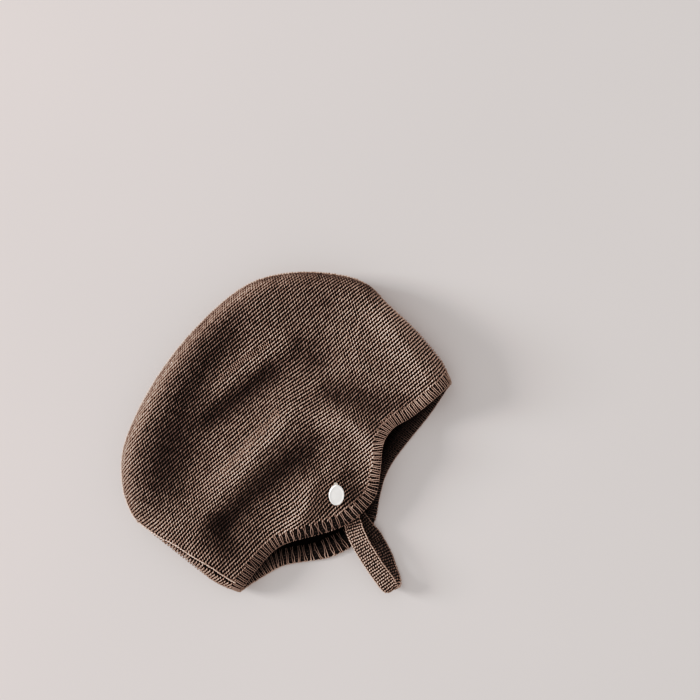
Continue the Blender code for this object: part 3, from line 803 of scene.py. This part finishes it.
def drift(places):
    """How far each plan place's row has strayed from its straight line."""
    strayed = np.zeros(len(places))
    for patch in DRIFTS:
        offset = places - (patch.x, patch.y)
        near = np.exp(-(offset**2).sum(axis=1) / patch.reach**2)
        strayed -= math.tan(patch.turn) * offset[:, 0] * near
    return strayed


def rolled_out(places, normals, side):
    """Skin places as a flat plan of the upper layer, side 1, or the lower, side -1, its fold rolled out."""
    tilt = np.arccos(np.clip(normals[:, 2] * side, -1.0, 1.0))
    outwards = unit(normals[:, :2])
    plan = places[:, :2] + ROLL_SHARE * FOLD_RADIUS * (tilt - np.sin(tilt))[:, None] * outwards
    if side > 0:
        plan[:, 1] += drift(places[:, :2])
    return plan


def skin_stitches(skin, side, seam, pitch=STITCH_PITCH, lift=0.0):
    """Where the stitches of one layer lie, in rows that are shifted up by a share of a row."""
    places = np.array([vert.co for vert in skin.verts])
    normals = np.array([vert.normal for vert in skin.verts])
    corners = np.array(
        [
            [loop.vert.index for loop in triangle]
            for triangle in skin.calc_loop_triangles()
            if triangle[0].face.normal.z * side >= 0
        ]
    )
    plan = rolled_out(places, normals, side)
    flat = BVHTree.FromPolygons(np.column_stack((plan, np.zeros(len(plan)))).tolist(), corners.tolist())
    low, high = plan[corners.ravel()].min(axis=0), plan[corners.ravel()].max(axis=0)
    hits, faces = [], []
    for row in range(int(low[1] / ROW_PITCH) - 1, int(high[1] / ROW_PITCH) + 2):
        shift = 0.5 * (row % 2)
        for column in range(int(low[0] / pitch) - 1, int(high[0] / pitch) + 2):
            spot = Vector(((column + shift) * pitch, (row + lift) * ROW_PITCH, 1.0))
            where, _, face, _ = flat.ray_cast(spot, Vector((0, 0, -1)))
            if face is not None:
                hits.append((where.x, where.y))
                faces.append(face)
    # Each place on the plan is put back on the skin by its shares of its triangle's corners
    corners = corners[faces]
    first, second, third = (plan[corners[:, k]] for k in range(3))
    hits = np.array(hits)
    spread = np.stack((second - first, third - first), axis=2)
    shares = np.linalg.solve(spread, (hits - first)[..., None])[..., 0]
    weights = np.column_stack((1 - shares.sum(axis=1), shares))[..., None]
    steps = np.linalg.solve(spread, np.tile(np.eye(2), (len(hits), 1, 1)))
    middle = (places[corners] * weights).sum(axis=1)
    normal = unit((normals[corners] * weights).sum(axis=1))
    edges = places[corners[:, 1:]] - places[corners[:, :1]]
    along, onwards = (np.einsum("nek,ne->nk", edges, steps[:, :, axis]) for axis in (0, 1))
    stretch = np.clip(np.linalg.norm(np.stack((along, onwards), axis=1), axis=2), *STRETCH_RANGE)
    clear = np.linalg.norm(middle[:, None] - seam[None], axis=2).min(axis=1) > SEAM_GROOVE
    middle, along, stretch = middle[clear], along[clear], stretch[clear]
    # Painted light and shade: paler on the folds' crests and on their side towards the window, darker in
    # their hollows and on the rim, on the upper layer only
    lean = np.array((*PAINTED_LIGHT_LEAN, 0.0))
    raised = fold_heights(middle - lean) / PAINTED_LIGHT_HEIGHT
    upward = normal[clear, 2]
    lighter = RIM_LEAST + (1 - RIM_LEAST) * smooth_step(upward / RIM_TURNED)
    rim = smooth_step(1 - upward / RIM_UPWARD) * lighter
    raised = np.clip(raised - RIM_PAINTED_SHADE * rim, -1, 1) * (side > 0)
    middle, normal = folded(middle, normal[clear])
    return Lay(middle - STITCH_SINK * normal, along, normal, stretch, raised)


def seam_line(skin):
    """The centre seam as even places on the cap's skin, with the skin's normals there."""
    tree = BVHTree.FromBMesh(skin)
    line = evenly(smooth_curve([row[1:] for row in SEAM]), SEAM_STEP)
    found = [tree.find_nearest(Vector(place)) for place in line]
    places = evenly(np.array([hit[0] for hit in found]), SEAM_STEP)
    normals = np.array([tree.find_nearest(Vector(place))[1] for place in places])
    return places, normals


def crest_legs(legs):
    """The upright legs that show: those on the open crests, in clusters."""
    clusters = np.cos(2 * math.pi * legs.places[:, 0] / LEG_CLUSTER)
    drawn = openness(legs.places) * (1 - LEG_CLUSTERED + LEG_CLUSTERED * clusters)
    shown = drawn > LEG_SHOWN
    legs = Lay(*(rows[shown] for rows in legs))
    size = LEG_LEAST + (1 - LEG_LEAST) * smooth_step(drawn[shown] * CREST_GAIN)[:, None]
    places = legs.places - LEG_SINK * legs.normals
    return legs._replace(places=places, stretch=legs.stretch * size, raised=np.full(len(size), LEG_TONE))


def make_cap(outside, painted_shade_knit, inside):
    """The knitted crown and flaps: a backing painted near black as shade, two layers of stitches, legs and
    the centre seam.
    """
    shell = cad_shell("cap")
    outer = outer_skin(shell)
    for face in shell.faces:
        face.material_index = 0 if face in outer else 1
    backing = shell.copy()
    for _ in range(2):
        raised = [edge for edge in backing.edges if min(vert.co.z for vert in edge.verts) > FOLD_FLOOR]
        bmesh.ops.subdivide_edges(backing, edges=raised, cuts=1, use_grid_fill=True)
    backing.normal_update()
    places = np.array([vert.co for vert in backing.verts])
    normals = np.array([vert.normal for vert in backing.verts])
    places = folded(places, normals)[0] - BACKING_SINK * normals
    for vert, place in zip(backing.verts, places):
        vert.co = (place[0], place[1], max(place[2], BACKING_GAP))
    mesh_piece("cap_backing", mesh_of("cap_backing", backing), [painted_shade_knit, inside], ("cap",))

    bmesh.ops.delete(shell, geom=[face for face in shell.faces if face not in outer], context="FACES")
    shell.normal_update()
    shell.verts.index_update()
    seam, seam_normals = seam_line(shell)
    for name, side in (("cap_upper_stitches", 1), ("cap_lower_stitches", -1)):
        lay = skin_stitches(shell, side, seam)
        if side > 0:
            lay.stretch[:, 1] *= 1 - CREST_NARROW * smooth_step(CREST_GAIN * openness(lay.places))
        laid_stitches(name, lay, GARTER, outside)
    legs = crest_legs(skin_stitches(shell, 1, seam, LEG_PITCH, 0.5))
    laid_stitches("crest_legs", legs, LEG, outside)

    run = np.gradient(seam, axis=0)
    aside = unit(np.cross(seam_normals, run))
    chain = seam - SEAM_ASIDE * aside + SEAM_PROUD * seam_normals
    lay = plain_lay(chain[::2], run[::2], seam_normals[::2], SEAM_TONE)
    laid_stitches("centre_seam", lay, SEAM_CHAIN, outside)
    return shell


# The edging


def opening_ring(skin):
    """The cap's border as a fine closed ring, with its places and normals."""
    edges = {edge for edge in skin.edges if edge.is_boundary}
    start = min(edges, key=lambda edge: edge.index)
    loop = [start.verts[0], start.verts[1]]
    edges.discard(start)
    while True:
        onwards = next((edge for edge in loop[-1].link_edges if edge in edges), None)
        if onwards is None:
            break
        edges.discard(onwards)
        loop.append(onwards.other_vert(loop[-1]))
    if loop[0] is loop[-1]:
        loop.pop()
    places = smooth_curve([vert.co for vert in loop], 8, closed=True)
    normals = unit(smooth_curve([vert.normal for vert in loop], 8, closed=True))
    return places, normals


# Stations round the edging: its middle at the cap, its reach to the free edge, its normals and its run
Ring = namedtuple("Ring", "middle reach normals run")


def evened(rows):
    """Rows of a closed ring's array, each evened with its two neighbours."""
    return (np.roll(rows, 1, axis=0) + 2 * rows + np.roll(rows, -1, axis=0)) / 4


def ring_stations(skin, count):
    """Even stations round the edging, with its folds deepened and its width stretched."""
    places, normals = opening_ring(skin)
    middle = places - normals * FABRIC / 2
    closed = np.vstack((middle, middle[:1]))
    steps = np.linalg.norm(np.diff(closed, axis=0), axis=1)
    along = np.concatenate(([0.0], np.cumsum(steps)))
    wanted = along[-1] * np.arange(count) / count

    def sampled(rows):
        rows = np.vstack((rows, rows[:1]))
        return np.column_stack([np.interp(wanted, along, rows[:, k]) for k in range(3)])

    middle, normals = sampled(middle), unit(sampled(normals))
    run = unit(np.roll(middle, -1, axis=0) - np.roll(middle, 1, axis=0))
    outwards = np.cross(run, normals)
    # The edging reaches from the cap into its opening, and so inwards along Y on the whole
    if (outwards * (middle - middle.mean(axis=0)))[:, 1].sum() > 0:
        outwards = -outwards
    bm = bmesh.new()
    bm.from_mesh(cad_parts["edging"].data)
    band_tree = BVHTree.FromBMesh(bm)
    bm.free()
    beyond = middle + outwards * 1.5 * BAND_WIDTH
    tips = np.array([band_tree.find_nearest(Vector(place))[0] for place in beyond])
    reach = tips - middle
    middle, normals = folded(middle, normals)
    for _ in range(EVEN_TIMES):
        reach = evened(reach)
        normals = evened(normals)
    reach_unit = unit(reach)
    normals = unit(normals - (normals * reach_unit).sum(axis=1)[:, None] * reach_unit)
    wider = np.ones(len(reach))
    for patch in STRETCHES:
        near = np.exp(-((middle[:, :2] - (patch.x, patch.y)) ** 2).sum(axis=1) / patch.reach**2)
        wider += near * np.where(normals[:, 2] < 0, patch.lower, patch.upper)
    return Ring(middle, reach * wider[:, None], normals, run)


def ring_at(ring, where):
    """The ring's rows at fractional stations."""
    count = len(ring.middle)
    low = np.floor(where).astype(int)
    share = (where - low)[..., None]
    return Ring(*(rows[low % count] * (1 - share) + rows[(low + 1) % count] * share for rows in ring))


def flap_nearness(places, reach):
    """How near places are to the tip of the flap, from 0 to 1."""
    return np.exp(-(((places[:, :2] - FLAP_TIP) / reach) ** 2).sum(axis=1))


def rib_painted_shades(starts, below, path_reach, path_rise):
    """How much painted shade each rib has along its path, on the lower layer's inner face and on the upper
    layer.
    """
    forward = smooth_step((starts[:, 0] - CHEEK) / CHEEK_FADE)[:, None]
    at_edge = smooth_step((path_reach - EDGE_FROM) / EDGE_FADE)[None]
    shaded = (INNER_DARK + CHEEK_DARK * forward) * (1 - at_edge) + EDGE_DARK * forward * at_edge
    behind = UPPER_DARK * smooth_step((UPPER_END - starts[:, 0]) / UPPER_END)
    upper = (behind + CURL_DARK * flap_nearness(starts, CURL_REACH)) * ~below
    inner_face = np.clip(-path_rise / (FACE_SHARE * RIB_HALF), 0, 1)
    outer_face = np.clip(path_rise / (FACE_SHARE * RIB_HALF), 0, 1)
    return shaded * below[:, None] * inner_face[None] + upper[:, None] * outer_face[None]


def edging_ribs(ring, rib_at, spacing, outside):
    """The ribs: each is two loops of yarn from the cap over the free edge and back."""
    nearest = np.round(rib_at).astype(int) % len(ring.middle)
    starts = ring.middle[nearest]
    loose = flap_nearness(starts, LOOSE_REACH)
    path_reach = np.array([point.reach for point in RIB_PATH])
    path_rise = np.array([point.rise for point in RIB_PATH]) * RIB_HALF
    towards_edge = np.clip(path_reach, 0, 1)
    lean = (RIB_LEAN + RIB_LOOSE_LEAN * loose) * chance.standard_normal(len(rib_at))
    crossing = 2 * math.pi * (path_reach[None] + chance.random((len(rib_at), 1)))
    crossed = 1 + RIB_CROSSED * loose[:, None] * np.cos(crossing)
    spread = RIB_SPREAD + (RIB_SPLAY - RIB_SPREAD) * towards_edge
    strands, beside = [], []
    for hand in (-1, 1):
        offset = hand * spread[None] * crossed + lean[:, None] * (towards_edge[None] - 0.5)
        offset = offset + RIB_CHANCE * chance.standard_normal(offset.shape)
        spot = ring_at(ring, rib_at[:, None] + offset / spacing)
        out = path_reach[None, :, None] * spot.reach * RIB_REACH
        strands.append(spot.middle + out + path_rise[None, :, None] * spot.normals)
        beside.append(unit(spot.run))
    paths = np.concatenate(strands)
    paths[..., 2] = np.maximum(paths[..., 2], 0.9 * RIB_STRAND)
    painted_shades = np.tile(rib_painted_shades(starts, ring.normals[nearest, 2] < 0, path_reach, path_rise), (2, 1))
    radius = RIB_STRAND * np.tile(1 + RIB_THICKER * loose, 2)[:, None, None]
    mesh = tubes("edging_ribs", paths, np.concatenate(beside), radius, painted_shades=painted_shades)
    mesh_piece("edging_ribs", mesh, [outside])


def make_edging(skin, outside, painted_shade_knit):
    """The ribbed band: a core painted near black as shade, paired strands over it, purl bumps between and a
    chained edge.
    """
    places, _ = opening_ring(skin)
    length = np.linalg.norm(places - np.roll(places, 1, axis=0), axis=1).sum()
    count = 4 * round(length / RIB_PITCH)
    spacing = length / count
    ring = ring_stations(skin, count)
    loose = flap_nearness(ring.middle, LOOSE_REACH)
    passed = np.concatenate(([0.0], np.cumsum(spacing / (RIB_PITCH * (1 + RIB_LOOSE * loose)))))
    ribs = round(passed[-1])
    rib_at = np.interp(np.arange(ribs) * passed[-1] / ribs, passed, np.arange(count + 1))
    halfway = (rib_at + np.append(rib_at[1:], count)) / 2

    middle = ring.middle + BAND_MIDDLE * ring.reach
    half_width = BAND_SPREAD * np.linalg.norm(ring.reach, axis=1)
    mesh = band("edging_band", middle, unit(ring.reach), ring.normals, half_width, BAND_HALF, closed=True)
    mesh_piece("edging_band", mesh, [painted_shade_knit], ("edging",))
    edging_ribs(ring, rib_at, spacing, outside)

    purls = []
    spot = ring_at(ring, halfway)
    for side in (1, -1):
        for share in PURL_SHARES:
            bumps = spot.middle + share * spot.reach + side * (BAND_HALF + TABLE_GAP) * spot.normals
            purls.append(plain_lay(bumps, spot.run, side * spot.normals, PURL_TONE))
    laid_stitches("edging_purls", one_lay(purls), PURL, outside)

    chain = []
    spot = ring_at(ring, (np.concatenate((rib_at, halfway)) + halfway[0] / 2) % count)
    # Painted light on the lower layer's chain behind the cheek, out of the cap's shade
    pale = (spot.normals[:, 2] < 0) * smooth_step((CHEEK - spot.middle[:, 0]) / CHEEK_FADE)
    for side in (1, -1):
        links = spot.middle + CHAIN_REACH * spot.reach + side * CHAIN_RISE * spot.normals
        facing = side * spot.normals + CHAIN_LEAN * unit(spot.reach)
        chain.append(plain_lay(links, spot.run, facing, CHAIN_PALE * pale + CHAIN_TONE))
    laid_stitches("edging_chain", one_lay(chain), EDGE_CHAIN, outside)


# The chin strap


# Rows of the strap: across is each one's direction and its share of the width, and under its shade
StrapRows = namedtuple("StrapRows", "middle run across normals under")


def strap_rows(route, step):
    """The strap's rows at even steps of its route, narrower at its turn and in shade after it."""
    line = evenly(route, step)
    middle, slant = line[:, :3], line[:, 3]
    run = unit(np.gradient(middle, axis=0))
    across = np.column_stack((np.cos(slant), np.sin(slant), np.zeros(len(slant))))
    across = unit(across - (across * run).sum(axis=1)[:, None] * run)
    steps = np.linalg.norm(np.diff(middle, axis=0, prepend=middle[:1]), axis=1).cumsum()
    past_turn = steps - steps[middle[:, 1].argmin()]
    taper = 1 - STRAP_TAPER * np.exp(-((past_turn / STRAP_END) ** 2))
    under = smooth_step(past_turn / STRAP_SHADE)
    return StrapRows(middle, run, across * taper[:, None], unit(np.cross(across, run)), under)


def make_strap(outside, painted_shade_knit):
    """The knitted chin strap: a core painted near black as shade, rows of stitches on both faces and
    chained selvedges.
    """
    route = smooth_curve([row[1:] for row in STRAP])
    core = strap_rows(route, STRAP_STEP)
    half_width = STRAP_CORE * STRAP_WIDTH * np.linalg.norm(core.across, axis=1)
    across = unit(core.across)
    mesh = band("strap_band", core.middle, across, core.normals, half_width, STRAP_HALF, closed=False)
    mesh_piece("strap_band", mesh, [painted_shade_knit], ("chin_strap",))

    rows = strap_rows(route, STRAP_ROW)
    brick = STRAP_BRICK * (-1.0) ** np.arange(len(rows.middle))
    stitches = []
    for side in (1, -1):
        for column in range(STRAP_COLUMNS):
            share = ((column + 0.5 + brick) / STRAP_COLUMNS - 0.5)[:, None]
            aside = share * STRAP_STITCHED * STRAP_WIDTH * rows.across
            spots = rows.middle + aside + side * (STRAP_HALF + STRAP_LIFT) * rows.normals
            raised = STRAP_TONE - STRAP_DARK * rows.under
            stitches.append(plain_lay(spots, rows.across, side * rows.normals, raised))
    laid_stitches("strap_stitches", one_lay(stitches), STRAP_STITCH, outside, STRAP_JITTER)

    rows = strap_rows(route, SELVEDGE_STEP)
    selvedges = []
    for side in (1, -1):
        for face in (1, -1):
            aside = side * STRAP_SELVEDGE * STRAP_WIDTH * rows.across
            spots = rows.middle + aside + face * SELVEDGE_RISE * rows.normals
            facing = face * rows.normals + SELVEDGE_LEAN * side * rows.across
            selvedges.append(plain_lay(spots, rows.run, facing, SELVEDGE_TONE - STRAP_DARK * rows.under))
    laid_stitches("strap_selvedges", one_lay(selvedges), SELVEDGE, outside)


# The button


def button_frame():
    """The CAD button's vertices, and its long axis, cross axis and normal."""
    places = np.array([vert.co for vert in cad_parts["button"].data.vertices])
    middle = places.mean(axis=0)
    _, _, axes = np.linalg.svd(places - middle, full_matrices=False)
    long_axis, cross_axis, normal = axes
    if normal[2] < 0:
        normal = -normal
    if long_axis[1] < 0:
        long_axis = -long_axis
    cross_axis = np.cross(normal, long_axis)
    return places, long_axis, cross_axis, normal


def make_button(pearl, thread):
    """The oval pearl button, turned and drawn out, and the loops of thread that hold it."""
    places, long_axis, cross_axis, normal = button_frame()
    top = (places @ normal).max()
    middle = (places.max(axis=0) + places.min(axis=0)) / 2 + BUTTON_SHIFT * long_axis
    seat = middle + (top - BUTTON_THICKNESS - middle @ normal) * normal
    radius = BUTTON_LENGTH / 2
    bm = bmesh.new()
    verts = [bm.verts.new((out * radius, 0.0, high * BUTTON_THICKNESS)) for out, high in BUTTON_PROFILE]
    line = [bm.edges.new(pair) for pair in zip(verts, verts[1:])]
    spun_round(bm, verts + line, 2 * math.pi, BUTTON_STEPS, closed=True)
    bmesh.ops.remove_doubles(bm, verts=bm.verts, dist=1e-7)
    bmesh.ops.recalc_face_normals(bm, faces=bm.faces)
    placed = Matrix.Identity(4)
    for column, axis in enumerate((long_axis, cross_axis * BUTTON_WIDTH / BUTTON_LENGTH, normal)):
        for row in range(3):
            placed[row][column] = axis[row]
    placed.translation = Vector(seat)
    bmesh.ops.transform(bm, verts=bm.verts, matrix=placed)
    mesh_piece("button_face", mesh_of("button_face", bm), [pearl], ("button",))

    turns = np.linspace(0, 2 * math.pi, THREAD_STATIONS, endpoint=False)[:, None]
    along = THREAD_PLACE * BUTTON_LENGTH + THREAD_WIDE * np.cos(turns)
    high = THREAD_TALL * np.sin(turns) - THREAD_SINK
    loop = seat + along * long_axis + high * normal
    paths = np.array([loop + shift * cross_axis for shift in THREAD_SHIFTS])
    beside = np.broadcast_to(cross_axis, paths.shape)
    mesh = tubes("button_thread", paths, beside, THREAD_RADIUS, sides=THREAD_SIDES)
    mesh_piece("button_thread", mesh, [thread])


# The table, light and camera


def make_table(material):
    """The pale table top."""
    bm = bmesh.new()
    bmesh.ops.create_grid(bm, x_segments=1, y_segments=1, size=TABLE_HALF)
    mesh = mesh_of("table_top", bm)
    mesh.materials.append(material)
    table = bpy.data.objects.new("table_top", mesh)
    bpy.context.scene.collection.objects.link(table)


def pictured(right, up):
    """A direction along the table from its parts to the picture's right and up."""
    return Vector((right, up, 0.0)) @ Matrix.Rotation(-VIEW_TURN, 3, "Z")


def soft_light(soft):
    """A square soft light."""
    data = bpy.data.lights.new(soft.name, "AREA")
    data.shape = "SQUARE"
    data.size = soft.size
    data.energy = soft.power
    data.color = LIGHT_COLOUR
    light = bpy.data.objects.new(soft.name, data)
    towards = pictured(soft.right, soft.up).normalized()
    ray = towards * math.cos(soft.angle) + Vector((0, 0, math.sin(soft.angle)))
    light.location = ray * soft.distance
    light.rotation_euler = ray.to_track_quat("Z", "Y").to_euler()
    bpy.context.scene.collection.objects.link(light)


def tone_curve(view):
    """A gentle S: deeper browns, and softer steps between the pale tones of the table."""
    view.use_curve_mapping = True
    curve = view.curve_mapping.curves[3]
    for step in TONES[1:-1]:
        curve.points.new(step.scene, step.picture)
    curve.points[-1].location = TONES[-1]
    view.curve_mapping.update()


def light_and_view():
    """A low window light from the picture's left, a pale surround, and the camera above."""
    scene = bpy.context.scene
    for soft in LIGHTS:
        soft_light(soft)
    world = bpy.data.worlds.new("room")
    world.use_nodes = True
    background = world.node_tree.nodes["Background"]
    background.inputs["Color"].default_value = ROOM_COLOUR
    background.inputs["Strength"].default_value = ROOM_STRENGTH
    scene.world = world
    camera = bpy.data.cameras.new("camera")
    camera.lens = LENS
    camera.sensor_width = SENSOR
    camera.clip_end = 20
    view = bpy.data.objects.new("camera", camera)
    view.location = (VIEW_X, VIEW_Y, VIEW_HEIGHT)
    view.rotation_euler = (0.0, 0.0, VIEW_TURN)
    scene.collection.objects.link(view)
    scene.camera = view
    scene.view_settings.view_transform = "Standard"
    tone_curve(scene.view_settings)


# The whole

yarn = yarn_group()
knit_yarn = yarn_material("garter yarn", yarn, GARTER_YARN)
rib_yarn = yarn_material("rib yarn", yarn, RIB_YARN)
strap_yarn = yarn_material("strap yarn", yarn, STRAP_YARN)
painted_shade_yarn = yarn_material("painted shade yarn", yarn, PAINTED_SHADE_YARN, sheen=0.0)
inner_knit = rows_material("inner knit", yarn, INNER_SHADED_YARN)
thread_yarn = yarn_material("pale thread", yarn, PALE_THREAD)

skin = make_cap(knit_yarn, painted_shade_yarn, inner_knit)
make_edging(skin, rib_yarn, painted_shade_yarn)
skin.free()
make_strap(strap_yarn, painted_shade_yarn)
make_button(pearl_material(), thread_yarn)
make_table(floor_material())
light_and_view()
